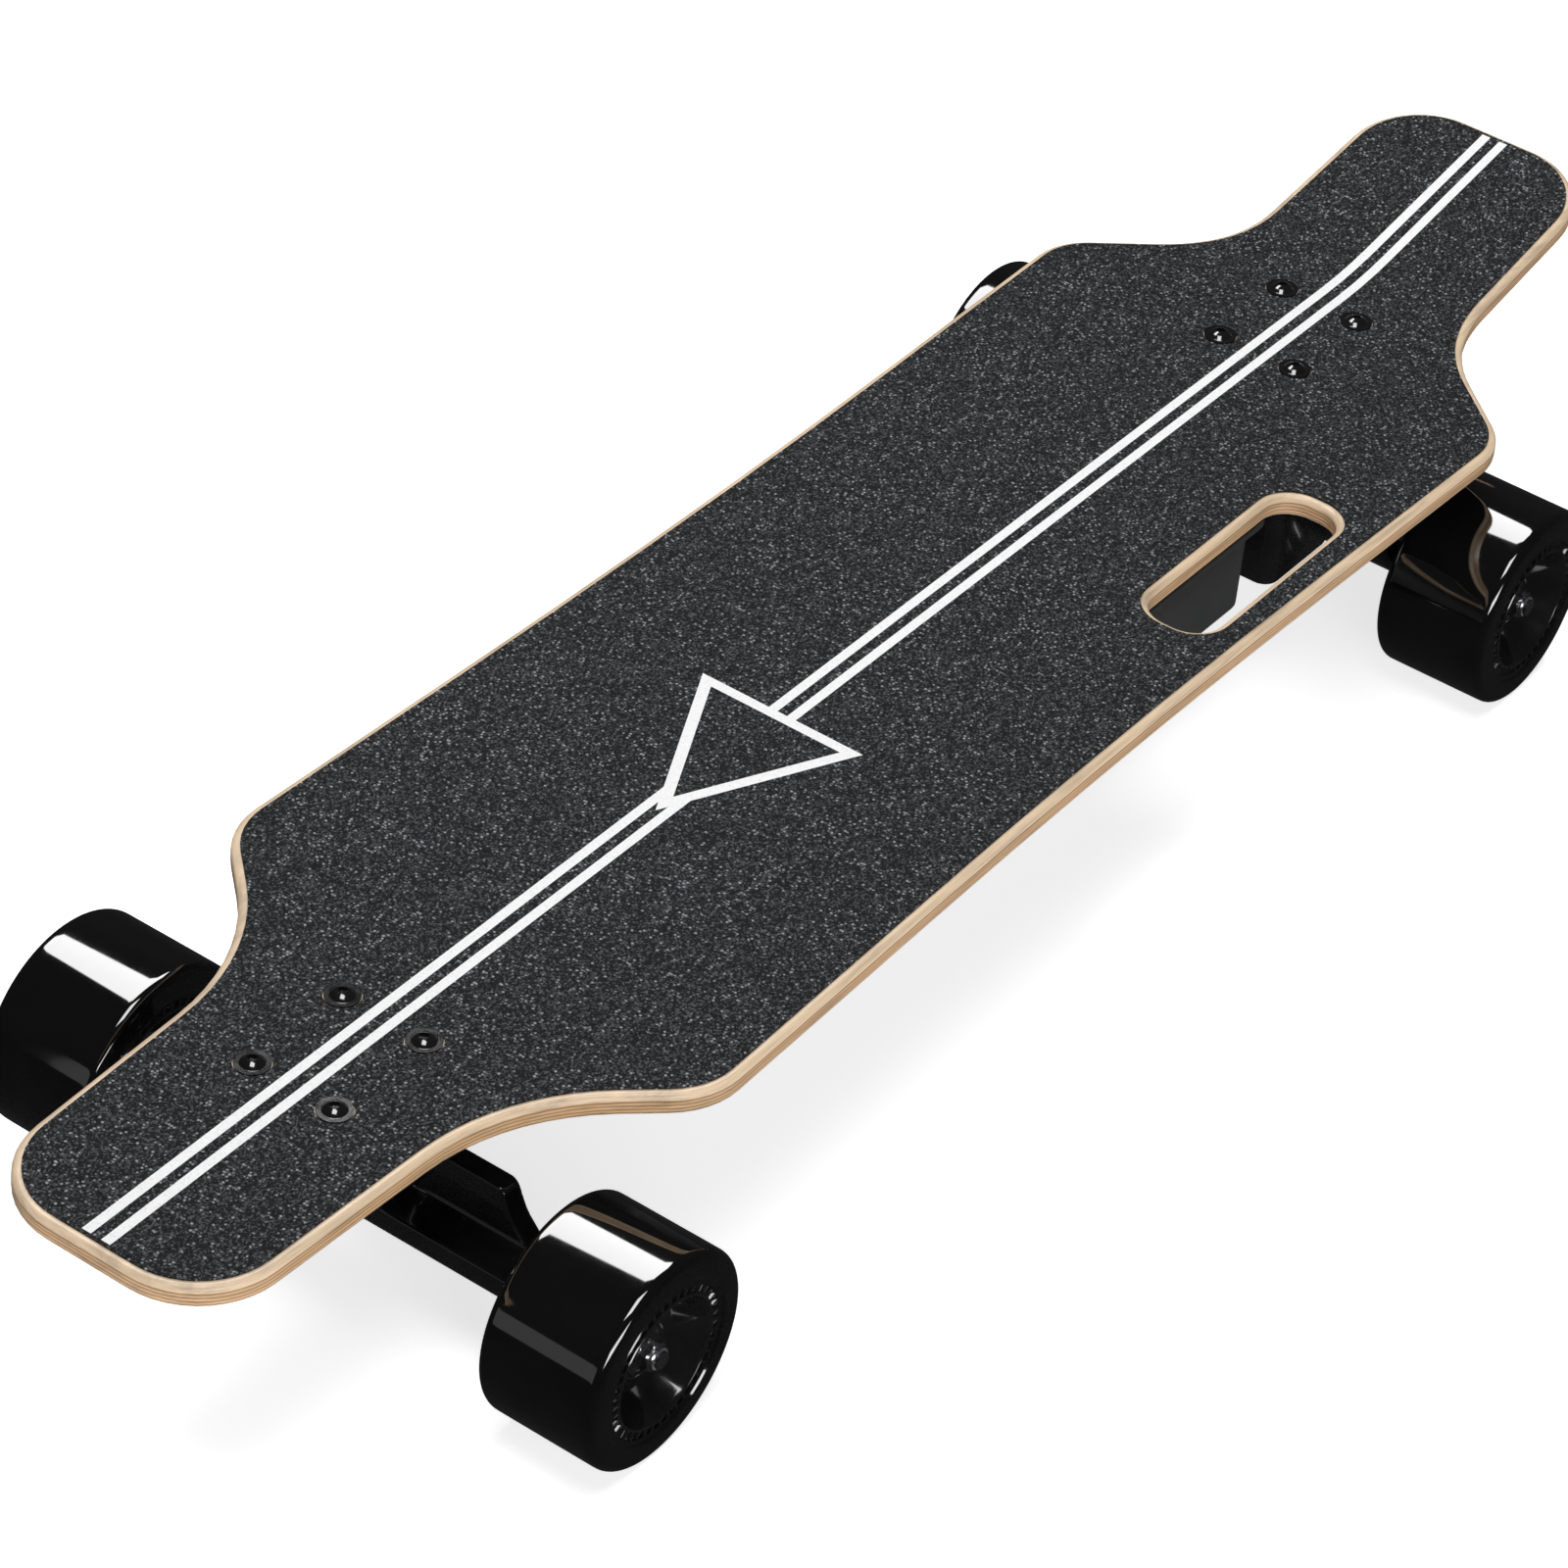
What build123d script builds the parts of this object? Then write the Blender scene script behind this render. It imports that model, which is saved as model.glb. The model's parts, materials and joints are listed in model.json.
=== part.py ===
from build123d import *
from math import cos, pi, radians, sin
import os

# Electric longboard: a kicked maple deck on two reverse-kingpin trucks, three plain wheels
# and one hub-motor wheel, with the battery and controller in a tray under the deck.
# Millimetres. +X is the nose, +Y the side with the carry handle, +Z up.
# The origin is on the ground under the middle of the deck.

# ---- Driving dimensions ------------------------------------------------------------------

# Deck outline, seen from above
deck_length = 1024
front_overhang = 159          # nose tip to the front axle
rear_overhang = 203           # tail tip to the rear axle
tip_half_width = 58.5         # nose and tail
tip_corner_radius = 40
waist_half_width = 64.5       # where the body begins to flare from the front waist
rear_waist_half_width = 61
body_half_width = 124.5       # widest point, next to each flare
middle_half_width = 117
front_waist_inset = 8         # flare corner behind the front axle
front_flare_length = 56
front_waist_radius = 108
front_shoulder_radius = 38
rear_waist_outset = 58        # flare corner behind the rear axle
rear_flare_length = 55
rear_waist_radius = 80
rear_shoulder_radius = 34
side_curve_radius = 6000

# Deck section
deck_thickness = 10.5
deck_edge_radius = 2.6
kick_start = 53               # behind the rear axle
kick_radius = 250
kick_angle = 9.5
grip_thickness = 0.9
grip_inset = 1.2              # bare wood beyond the rounded edge
graphic_thickness = 0.12

# Carry handle slot
slot_length = 121
slot_width = 35
slot_corner_radius = 15
slot_x = -150.5
slot_y = 86
slot_grip_inset = 1.0

# Printed graphic
stripe_width = 4.5
stripe_gap = 5.0
triangle_base_x = 77
triangle_length = 88
triangle_half_width = 42
triangle_line = 5.2

# Running gear
wheel_diameter = 97
wheel_width = 56
wheel_track = 256             # between wheel centres
axle_drop = 78                # axle below the top of the grip
axle_radius = 4
tyre_shoulder = 6
core_radius = 34.2
core_lip_width = 5.2          # flat notched ring round the bowl
bowl_depth = 17
bowl_floor_radius = 20
hub_radius = 13
hub_depth = 11                # bearing face below the wheel face
bearing_radius = 11
bearing_width = 7
bearing_race_radius = 6.1     # outside of the inner ring
hub_bore_radius = 9.2
tread_bond = 0.02             # radial gap of moulded and pressed fits
running_gap = 0.08            # radial gap of turning fits

# Axle hardware
speed_ring_width = 1.0
speed_ring_radius = 5.9
spacer_radius = 5.4
axle_nut_across_flats = 13
axle_nut_height = 6.5
axle_end_beyond_nut = 1.5

# Hub motor, in the rear right wheel
motor_can_radius = 40
motor_wall = 3.5
motor_air_gap = 0.6
motor_magnet_thickness = 2.0
motor_end_wall = 3.5
motor_face_inset = 2          # can's faces inside the tyre's
motor_stator_width = 32
motor_slots = 18
motor_slot_opening = 1.6
motor_tooth_width = 4.2
motor_tooth_depth = 11
motor_boss_radius = 17
motor_boss_step = 2.5

# Truck
steer_axis_angle = 42         # pivot axis above the horizontal
bolt_spacing_x = 54
bolt_spacing_y = 41.3
bolt_centre_offset = 14       # bolt pattern centre outboard of the axle
baseplate_length = 84
baseplate_width = 58
baseplate_thickness = 7
baseplate_corner_radius = 9
riser_thickness = 6
ring_centre_out = 18          # kingpin ring centre outboard of the axle
ring_centre_up = 28
ring_radius = 18
ring_thickness = 12
ring_bore_radius = 8
bushing_radius = 15
board_bushing_height = 15
road_bushing_height = 12
cup_washer_thickness = 1.5
kingpin_radius = 5
kingpin_head_height = 6
kingpin_head_radius = 8.5
kingpin_nut_height = 8
kingpin_nut_across_flats = 15
kingpin_end_beyond_nut = 3
pivot_distance = 53           # ring centre to pivot ball
pivot_nose_radius = 7
pivot_cup_wall = 3.2
pivot_cup_depth = 12
pivot_cup_mouth = 3
pivot_boss_wall = 3
pivot_gap = 0.3
leg_half_width = 17
beam_back = 14                # box beam's faces, measured from the axle
beam_front = 11
beam_top = 11
beam_front_top = 6
beam_front_bottom = 3
beam_bottom = 10
beam_corner_reach = 20        # clear of the beam's furthest corner
beam_taper_start = 76
hanger_end_radius = 8
hanger_shoulder = 94          # where the beam's taper ends
gusset_inner = 21             # clear of the baseplate's leg
gusset_outer = 68
gusset_foot = 90
gusset_height = 33
gusset_inboard = 11           # gusset's middle behind the axle
gusset_thickness = 10

# Deck hardware
deck_bolt_radius = 2.4
deck_bolt_hole_radius = 2.7
bolt_head_radius = 5.4
bolt_head_height = 2.6
bolt_socket_radius = 2.2
bolt_socket_depth = 1.5
bolt_washer_radius = 7.6
bolt_washer_thickness = 1.2
grip_hole_clearance = 0.4
locknut_across_flats = 9.5
locknut_height = 5
nut_room_radius = 5.9         # pocket round each nut, clear of its corners
bolt_end_beyond_nut = 1.5

# Battery and controller tray
tray_front = 206
tray_back = -207
tray_half_width = 62
tray_depth = 50
tray_wall = 3
tray_edge_radius = 9
tray_corner_radius = 16
flange_width = 6
flange_thickness = 3
gasket_thickness = 1
tray_screw_radius = 1.5
tray_screw_head_radius = 2.7
tray_screw_head_height = 2
tray_screw_head_round = 0.8
tray_screw_socket = 1.2
tray_screw_length = 10
tray_screw_end = 12           # first screw from the flange's middle line
tray_screw_gap = 0.2
tray_screws_per_side = 5
cover_front = -211            # moulded cover behind the tray, over the motor's cable
cover_back = -278
cover_half_width = 66
cover_wall = 2.5
cover_screw_inset = 22        # from the cover's ends
battery_length = 232
battery_width = 106
battery_height = 38
controller_length = 96
controller_width = 84
controller_board_thickness = 1.6
controller_height = 18
controller_margin = 11
battery_corner_radius = 6
inside_clearance = 0.5
port_x = -60
port_up = 22                  # port and button centres above the tray floor
port_radius = 9
port_neck_radius = 7
port_bore_radius = 4
port_pins = 3
port_pin_radius = 1
port_pin_circle = 2.2
port_flange = 1.6
port_length = 12
port_end_wall = 2
cap_radius = 8.2
cap_thickness = 1.8
cap_face_gap = 0.3
cap_hinge_radius = 1.2
cap_hinge_gap = 0.1
cap_arm_width = 4
cap_pin_reach = 5
cap_ear_width = 2.4
cap_ear_place = 4
button_x = -110
button_radius = 6
button_bezel_radius = 9
button_proud = 2.2
button_travel = 1.2
button_gap = 0.3
button_round = 0.8
button_switch_wall = 1.5
button_switch_depth = 12
gland_y = -31
gland_radius = 5.5
gland_step = 1
gland_length = 18             # reaches into the cover
gland_bore_radius = 2.6
gland_inside = 5
controller_y = 3              # clear of the port's body
heatsink_fins = 12
heatsink_slot_depth = 11

# ---- Derived places ----------------------------------------------------------------------

axle_z = wheel_diameter / 2
grip_top_z = axle_z + axle_drop
deck_top_z = grip_top_z - grip_thickness
deck_bottom_z = deck_top_z - deck_thickness
nose_x = deck_length / 2
front_axle_x = nose_x - front_overhang
rear_axle_x = rear_overhang - deck_length / 2
half_track = wheel_track / 2
riser_bottom_z = deck_bottom_z - riser_thickness
baseplate_bottom_z = riser_bottom_z - baseplate_thickness
bearing_outer_face = wheel_width / 2 - hub_depth
hanger_end_y = half_track - bearing_outer_face - speed_ring_width
nut_face_y = half_track + bearing_outer_face + speed_ring_width
axle_end_y = nut_face_y + axle_nut_height + axle_end_beyond_nut
flange_top_z = deck_bottom_z - gasket_thickness
tray_floor_z = deck_bottom_z - gasket_thickness - tray_depth
far = 400                     # reaches past the whole board

parts = {}


# ---- Shared shapes -----------------------------------------------------------------------

def rod(radius, start, end, axis="Y"):
    """Round bar along one axis through the origin, from start to end."""
    turn = {"X": (0, 90, 0), "Y": (-90, 0, 0), "Z": (0, 0, 0)}[axis]
    place = {"X": (start, 0, 0), "Y": (0, start, 0), "Z": (0, 0, start)}[axis]
    bottom = (Align.CENTER, Align.CENTER, Align.MIN)
    return Pos(*place) * Rot(*turn) * Cylinder(radius, end - start, align=bottom)


def ring(outer, inner, start, end, axis="Y"):
    return rod(outer, start, end, axis) - rod(inner, start - 1, end + 1, axis)


def turned(corners, radii=0):
    """Solid of revolution about Y: corners are (radius, y), rounded by radii."""
    line = FilletPolyline(*corners, radius=radii, close=True)
    return revolve(make_face(line), axis=Axis.Y)


def hexagon(across_flats, height, axis_start, axis="Z"):
    prism = extrude(RegularPolygon(across_flats / 2, 6, major_radius=False), height)
    turn = {"Z": Rot(0, 0, 0), "Y": Rot(-90, 0, 0)}[axis]
    place = {"Z": (0, 0, axis_start), "Y": (0, axis_start, 0)}[axis]
    return Pos(*place) * turn * prism


def group(solids):
    return Compound(children=list(solids))


def save(name, shape):
    parts[name] = shape


# ---- Deck --------------------------------------------------------------------------------

def deck_outline(inset=0.0):
    """Face of the deck's outline in plan, pulled in by inset."""
    front_corner = front_axle_x - front_waist_inset
    rear_corner = rear_axle_x - rear_waist_outset
    front_shoulder = front_corner - front_flare_length
    rear_shoulder = rear_corner + rear_flare_length
    half = [
        (nose_x, tip_half_width, tip_corner_radius),
        (front_corner, waist_half_width, front_waist_radius),
        (front_shoulder, body_half_width, front_shoulder_radius),
        ((front_shoulder + rear_shoulder) / 2, middle_half_width, side_curve_radius),
        (rear_shoulder, body_half_width, rear_shoulder_radius),
        (rear_corner, rear_waist_half_width, rear_waist_radius),
        (-nose_x, tip_half_width, tip_corner_radius),
    ]
    other = [(x, -y, r) for x, y, r in reversed(half)]
    corners = [(x, y) for x, y, r in half + other]
    radii = [r for x, y, r in half + other]
    face = make_face(FilletPolyline(*corners, radius=radii, close=True))
    return offset(face, -inset) if inset else face


def side_band(top, bottom):
    """Slab across the board between two depths below the deck's top, with the kicked tail."""
    kick_x = rear_axle_x - kick_start
    angle = radians(kick_angle)

    def edge(depth):
        level = deck_top_z - depth
        radius = kick_radius + depth
        bend_x = kick_x - radius * sin(angle)
        bend_z = level + radius * (1 - cos(angle))
        mid_x = kick_x - radius * sin(angle / 2)
        mid_z = level + radius * (1 - cos(angle / 2))
        end_x = bend_x - far * cos(angle)
        end_z = bend_z + far * sin(angle)
        return (level, (mid_x, mid_z), (bend_x, bend_z), (end_x, end_z))

    top_z, top_mid, top_bend, top_end = edge(top)
    low_z, low_mid, low_bend, low_end = edge(bottom)
    nose = nose_x + far / 10
    outline = [
        Line((nose, low_z), (nose, top_z)),
        Line((nose, top_z), (kick_x, top_z)),
        ThreePointArc((kick_x, top_z), top_mid, top_bend),
        Line(top_bend, top_end),
        Line(top_end, low_end),
        Line(low_end, low_bend),
        ThreePointArc(low_bend, low_mid, (kick_x, low_z)),
        Line((kick_x, low_z), (nose, low_z)),
    ]
    face = Plane.XZ * make_face(outline)
    return extrude(face, body_half_width + 20, both=True)


def prism(face):
    return Pos(0, 0, axle_z) * extrude(face, far)


def slot_face(grow=0.0):
    face = RectangleRounded(
        slot_length + 2 * grow, slot_width + 2 * grow, slot_corner_radius + grow
    )
    return Pos(slot_x, slot_y) * face


def truck_places():
    """Each truck's name, axle position and outboard direction."""
    return [("front", front_axle_x, 1), ("rear", rear_axle_x, -1)]


def deck_bolt_places():
    for _, axle_x, out in truck_places():
        centre = axle_x + out * bolt_centre_offset
        for i in (-1, 1):
            for j in (-1, 1):
                yield centre + i * bolt_spacing_x / 2, j * bolt_spacing_y / 2


def drill(shape, radius, top, bottom):
    for x, y in deck_bolt_places():
        shape = shape - Pos(x, y) * rod(radius, bottom, top, "Z")
    return shape


def make_deck():
    body = prism(deck_outline()) & side_band(0, deck_thickness)
    body = body - prism(slot_face())
    edges = [
        e for e in body.edges()
        if e.geom_type != GeomType.LINE or abs(e.tangent_at(0.5).Z) < 0.5
    ]
    body = fillet(edges, deck_edge_radius)
    save("deck", drill(body, deck_bolt_hole_radius, deck_top_z + 1, deck_bottom_z - 1))


def make_grip():
    inset = deck_edge_radius + grip_inset
    face = deck_outline(inset) - slot_face(deck_edge_radius + slot_grip_inset)
    sheet = prism(face) & side_band(-grip_thickness, 0)
    sheet = sheet - parts["grip_graphic"]
    hole = bolt_washer_radius + grip_hole_clearance
    save("grip_tape", drill(sheet, hole, grip_top_z + 1, deck_top_z - 1))


def triangle(grow):
    """Triangle of the graphic; grow moves each side outwards."""
    half_angle = Vector(triangle_length, 0).get_angle(Vector(triangle_length, triangle_half_width))
    apex = triangle_base_x + triangle_length + grow / sin(radians(half_angle))
    base = triangle_base_x - grow
    half = triangle_half_width * (apex - base) / triangle_length
    return make_face(Polyline((apex, 0), (base, half), (base, -half), close=True))


def make_graphic():
    """Two stripes the length of the board, broken by an outlined triangle, flush in the grip."""
    inner = triangle(-triangle_line)
    centre = (stripe_gap + stripe_width) / 2
    stripes = Rectangle(deck_length, stripe_width)
    pair = Pos(0, centre) * stripes + Pos(0, -centre) * stripes
    face = (pair + triangle(0)) - inner
    face = face & deck_outline(deck_edge_radius + grip_inset + stripe_width / 3)
    band = side_band(-grip_thickness, graphic_thickness - grip_thickness)
    save("grip_graphic", prism(face) & band)


# ---- Deck hardware -----------------------------------------------------------------------

def make_deck_hardware():
    washer_top = deck_top_z + bolt_washer_thickness
    nut_top = baseplate_bottom_z
    nut_bottom = nut_top - locknut_height
    shank = rod(deck_bolt_radius, nut_bottom - bolt_end_beyond_nut, washer_top, "Z")
    cap_radius_3d = (bolt_head_radius ** 2 + bolt_head_height ** 2) / (2 * bolt_head_height)
    ball = Pos(0, 0, washer_top + bolt_head_height - cap_radius_3d) * Sphere(cap_radius_3d)
    head = ball & rod(bolt_head_radius, washer_top, washer_top + bolt_head_height, "Z")
    socket_floor = washer_top + bolt_head_height - bolt_socket_depth
    head = head - Pos(0, 0, socket_floor) * extrude(RegularPolygon(bolt_socket_radius, 6), far)
    bolt = shank + head
    washer = ring(bolt_washer_radius, deck_bolt_hole_radius, deck_top_z, washer_top, "Z")
    nut = hexagon(locknut_across_flats, locknut_height, nut_bottom)
    nut = nut - rod(deck_bolt_radius + tread_bond, nut_bottom - 1, nut_top + 1, "Z")
    places = list(deck_bolt_places())
    save("deck_bolts", group(Pos(x, y) * bolt for x, y in places))
    save("deck_bolt_washers", group(Pos(x, y) * washer for x, y in places))
    save("deck_locknuts", group(Pos(x, y) * nut for x, y in places))


# ---- Trucks ------------------------------------------------------------------------------
# A truck is drawn with its axle along Y through the origin and outboard along +X.

angle = radians(steer_axis_angle)
steer = (cos(angle), 0, sin(angle))           # pivot axis, outboard and up
pin_down = (sin(angle), 0, -cos(angle))       # kingpin, outboard and down
ring_centre = (ring_centre_out, 0, ring_centre_up)
truck_top = riser_bottom_z - axle_z           # baseplate top above the axle


def from_ring(along_pin, along_steer=0.0):
    """Point measured from the ring centre along the kingpin and the pivot axis."""
    return tuple(
        c + along_pin * p + along_steer * s
        for c, p, s in zip(ring_centre, pin_down, steer)
    )


def pin_plane(along_pin):
    return Plane(origin=from_ring(along_pin), x_dir=(0, 1, 0), z_dir=pin_down)


def steer_plane(along_steer):
    return Plane(origin=from_ring(0, along_steer), x_dir=(0, 1, 0), z_dir=steer)


def pin_rod(radius, start, end):
    return extrude(pin_plane(start) * Circle(radius), end - start)


def steer_rod(radius, start, end):
    return extrude(steer_plane(start) * Circle(radius), end - start)


def side_plate(corners, half):
    """Plate across the truck: corners are (x, z), half its width each way along Y."""
    return extrude(Plane.XZ * make_face(Polyline(*corners, close=True)), half, both=True)


board_face = -(ring_thickness / 2 + board_bushing_height + cup_washer_thickness)
road_face = ring_thickness / 2 + road_bushing_height + cup_washer_thickness
head_seat = board_face - 11
ball_at = -pivot_distance
cup_radius = pivot_nose_radius + pivot_gap + pivot_cup_wall
boss_radius = cup_radius + tread_bond + pivot_boss_wall


def baseplate_plan():
    plate = RectangleRounded(baseplate_length, baseplate_width, baseplate_corner_radius)
    return Pos(bolt_centre_offset, 0) * plate


def place_holes(radius, top, bottom):
    holes = []
    for i in (-1, 1):
        for j in (-1, 1):
            x = bolt_centre_offset + i * bolt_spacing_x / 2
            holes.append(Pos(x, j * bolt_spacing_y / 2) * rod(radius, bottom, top, "Z"))
    return holes


def make_baseplate():
    plate_bottom = truck_top - baseplate_thickness
    plate = Pos(0, 0, plate_bottom) * extrude(baseplate_plan(), baseplate_thickness)
    under = truck_top - baseplate_thickness / 2
    seat_out = from_ring(board_face, bushing_radius + 3)
    seat_in = from_ring(board_face, -bushing_radius - 3)
    boss_top = from_ring(boss_radius * -1.0, ball_at + pivot_cup_mouth)
    boss_tail = from_ring(boss_radius * 0.55, ball_at - pivot_cup_depth - 2)
    back = bolt_centre_offset - baseplate_length / 2 + 4
    side = [
        (back, under),
        (back - 3, (under + boss_tail[2]) / 2),
        (boss_tail[0] - 4, boss_tail[2] + 4),
        (boss_tail[0], boss_tail[2]),
        (boss_top[0], boss_top[2]),
        (seat_in[0], seat_in[2]),
        (seat_out[0], seat_out[2]),
        (seat_out[0] + 3, under),
    ]
    leg = side_plate(side, leg_half_width)
    bore_start = ball_at - pivot_cup_depth
    body = plate + leg + steer_rod(boss_radius, bore_start - pivot_boss_wall, ball_at + pivot_cup_mouth)
    body = body - steer_rod(cup_radius + tread_bond, bore_start, ball_at + pivot_cup_mouth + 30)
    body = body - pin_rod(kingpin_radius + tread_bond, head_seat - 1, board_face + 1)
    body = body - pin_rod(kingpin_head_radius + 0.5, head_seat - 40, head_seat)
    clear = pin_rod(bushing_radius + 4, board_face, 60)
    body = body - clear
    for hole in place_holes(deck_bolt_hole_radius, truck_top + 1, plate_bottom - 1):
        body = body - hole
    for hole in place_holes(nut_room_radius, plate_bottom, plate_bottom - far):
        body = body - hole
    return body


def make_riser():
    pad = Pos(0, 0, truck_top) * extrude(baseplate_plan(), riser_thickness)
    for hole in place_holes(deck_bolt_hole_radius, truck_top + riser_thickness + 1, truck_top - 1):
        pad = pad - hole
    return pad - pin_rod(kingpin_head_radius + 1.5, head_seat - 40, head_seat)


def make_pivot_cup():
    start = ball_at - pivot_cup_depth
    cup = steer_rod(cup_radius, start, ball_at + pivot_cup_mouth)
    room = pivot_nose_radius + pivot_gap
    bore = steer_rod(room, ball_at, ball_at + pivot_cup_mouth + 5)
    return cup - bore - Pos(*from_ring(0, ball_at)) * Sphere(room)


def make_kingpin():
    end = road_face + kingpin_nut_height + kingpin_end_beyond_nut
    pin = pin_rod(kingpin_radius, head_seat - 1, end)
    return pin + pin_rod(kingpin_head_radius, head_seat - kingpin_head_height, head_seat)


def make_kingpin_nut():
    body = extrude(
        pin_plane(road_face) * RegularPolygon(kingpin_nut_across_flats / 2, 6, major_radius=False),
        kingpin_nut_height,
    )
    return body - pin_rod(kingpin_radius + tread_bond, road_face - 1, road_face + 20)


def make_washers():
    bore = pin_rod(kingpin_radius + tread_bond, -50, 50)
    board = pin_rod(bushing_radius + 1, board_face, board_face + cup_washer_thickness)
    road = pin_rod(bushing_radius - 1.5, road_face - cup_washer_thickness, road_face)
    return [board - bore, road - bore]


def make_bushing(start, end, wide, narrow):
    """Barrel or cone of urethane between the ring and a washer."""
    body = loft([pin_plane(start) * Circle(wide), pin_plane(end) * Circle(narrow)])
    return body - pin_rod(kingpin_radius + tread_bond, start - 60, end + 60)


def make_beam():
    """Box-section axle beam, coned down to its round ends."""
    box = side_plate([
        (-beam_back, beam_top), (beam_front, beam_front_top), (beam_front, -beam_front_bottom),
        (beam_front / 2, -beam_bottom), (-beam_back / 2, -beam_bottom),
        (-beam_back, -beam_front_bottom),
    ], hanger_shoulder)
    cone = turned([
        (0, -hanger_shoulder), (hanger_end_radius, -hanger_shoulder),
        (beam_corner_reach, -beam_taper_start), (beam_corner_reach, beam_taper_start),
        (hanger_end_radius, hanger_shoulder), (0, hanger_shoulder),
    ])
    return (box & cone) + rod(hanger_end_radius, -hanger_end_y, hanger_end_y)


def make_gussets():
    """Upright plates that flare from the beam towards the middle of the truck."""
    web = [
        (gusset_inner, 0), (gusset_inner, gusset_height - 4), (gusset_inner + 8, gusset_height),
        (gusset_outer, gusset_height), (gusset_outer + 6, 0.6 * gusset_height),
        (gusset_foot - 4, beam_front_top), (gusset_foot, 0),
    ]
    face = make_face(FilletPolyline(*web, radius=[0, 3, 4, 5, 14, 4, 0], close=True))
    plate = Pos(-gusset_inboard, 0, 0) * extrude(Plane.YZ * face, gusset_thickness / 2, both=True)
    return plate + mirror(plate, Plane.XZ)


def make_hanger():
    """Cast hanger: ring, pivot nose, axle beam and side gussets."""
    half_ring = ring_thickness / 2
    collar = pin_rod(ring_radius, -half_ring, half_ring)
    foot_out = from_ring(half_ring, 2)
    top_in = from_ring(-half_ring, -ring_radius + 3)
    top_out = from_ring(-half_ring, 2)
    yoke = side_plate([
        (-beam_back / 2, 0.8 * beam_top), (-beam_back / 2, -beam_front_bottom), (0, -beam_bottom),
        (beam_front, -beam_front_bottom), (foot_out[0], foot_out[2]),
        (top_out[0], top_out[2]), (top_in[0], top_in[2]),
    ], leg_half_width - 2)
    nose = steer_rod(pivot_nose_radius, ball_at, -ring_radius + 4)
    ball = Pos(*from_ring(0, ball_at)) * Sphere(pivot_nose_radius)
    body = make_beam() + collar + yoke + nose + ball + make_gussets()
    body = body - pin_rod(ring_bore_radius, -half_ring - 30, half_ring + 40)
    seat_room = bushing_radius + 1.5
    body = body - pin_rod(seat_room, -half_ring - 40, -half_ring)
    body = body - pin_rod(seat_room, half_ring, half_ring + 40)
    return body - rod(axle_radius + tread_bond, -hanger_end_y - 1, hanger_end_y + 1)


def set_truck(shape, axle_x, out):
    """Place a truck piece: the rear truck is the front one turned about Z."""
    turn = Rot(0, 0, 0) if out > 0 else Rot(0, 0, 180)
    return Pos(axle_x, 0, axle_z) * turn * shape


def make_trucks():
    board_bushing = make_bushing(
        board_face + cup_washer_thickness, -ring_thickness / 2, bushing_radius, bushing_radius - 1)
    road_bushing = make_bushing(
        ring_thickness / 2, road_face - cup_washer_thickness, bushing_radius - 1, bushing_radius - 4)
    pieces = {
        "riser_pad": make_riser(), "baseplate": make_baseplate(), "pivot_cup": make_pivot_cup(),
        "kingpin": make_kingpin(), "kingpin_nut": make_kingpin_nut(),
        "board_bushing": board_bushing, "road_bushing": road_bushing,
        "hanger": make_hanger(), "axle": rod(axle_radius, -axle_end_y, axle_end_y),
    }
    for end, axle_x, out in truck_places():
        for name, shape in pieces.items():
            save(end + "_" + name, set_truck(shape, axle_x, out))
        save(end + "_cup_washers", group(set_truck(w, axle_x, out) for w in make_washers()))


# ---- Wheels ------------------------------------------------------------------------------
# A wheel is drawn round Y with its centre at the origin; +Y is its outer face.

half_width = wheel_width / 2


def make_tyre(bore):
    outer = wheel_diameter / 2
    corners = [(bore, -half_width), (outer, -half_width), (outer, half_width), (bore, half_width)]
    return turned(corners, [0, tyre_shoulder, tyre_shoulder, 0])


def make_core():
    """Bowl-faced core, the same on both faces, with a seat for a bearing in each."""
    bowl = core_radius - core_lip_width
    face = half_width
    floor = face - bowl_depth
    half = [
        (core_radius, face), (bowl, face), (bowl_floor_radius, floor + 3),
        (bowl_floor_radius - 3, floor), (hub_radius, floor), (hub_radius, face - hub_depth),
        (bearing_radius + tread_bond, face - hub_depth),
        (bearing_radius + tread_bond, face - hub_depth - bearing_width),
        (hub_bore_radius, face - hub_depth - bearing_width),
    ]
    other = [(r, -y) for r, y in reversed(half)]
    return turned(half + other)


def bearing_ring(side, outer, inner):
    near = half_width - hub_depth
    start, end = sorted((side * near, side * (near - bearing_width)))
    return ring(outer, inner, start, end)


def make_plain_wheel(name, x, y):
    centre = Pos(x, y, axle_z)
    save(name + "_tyre", centre * make_tyre(core_radius + tread_bond))
    save(name + "_core", centre * make_core())
    rings = [
        centre * bearing_ring(side, bearing_radius, bearing_race_radius + running_gap)
        for side in (-1, 1)
    ]
    save(name + "_bearings", group(rings))


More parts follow.
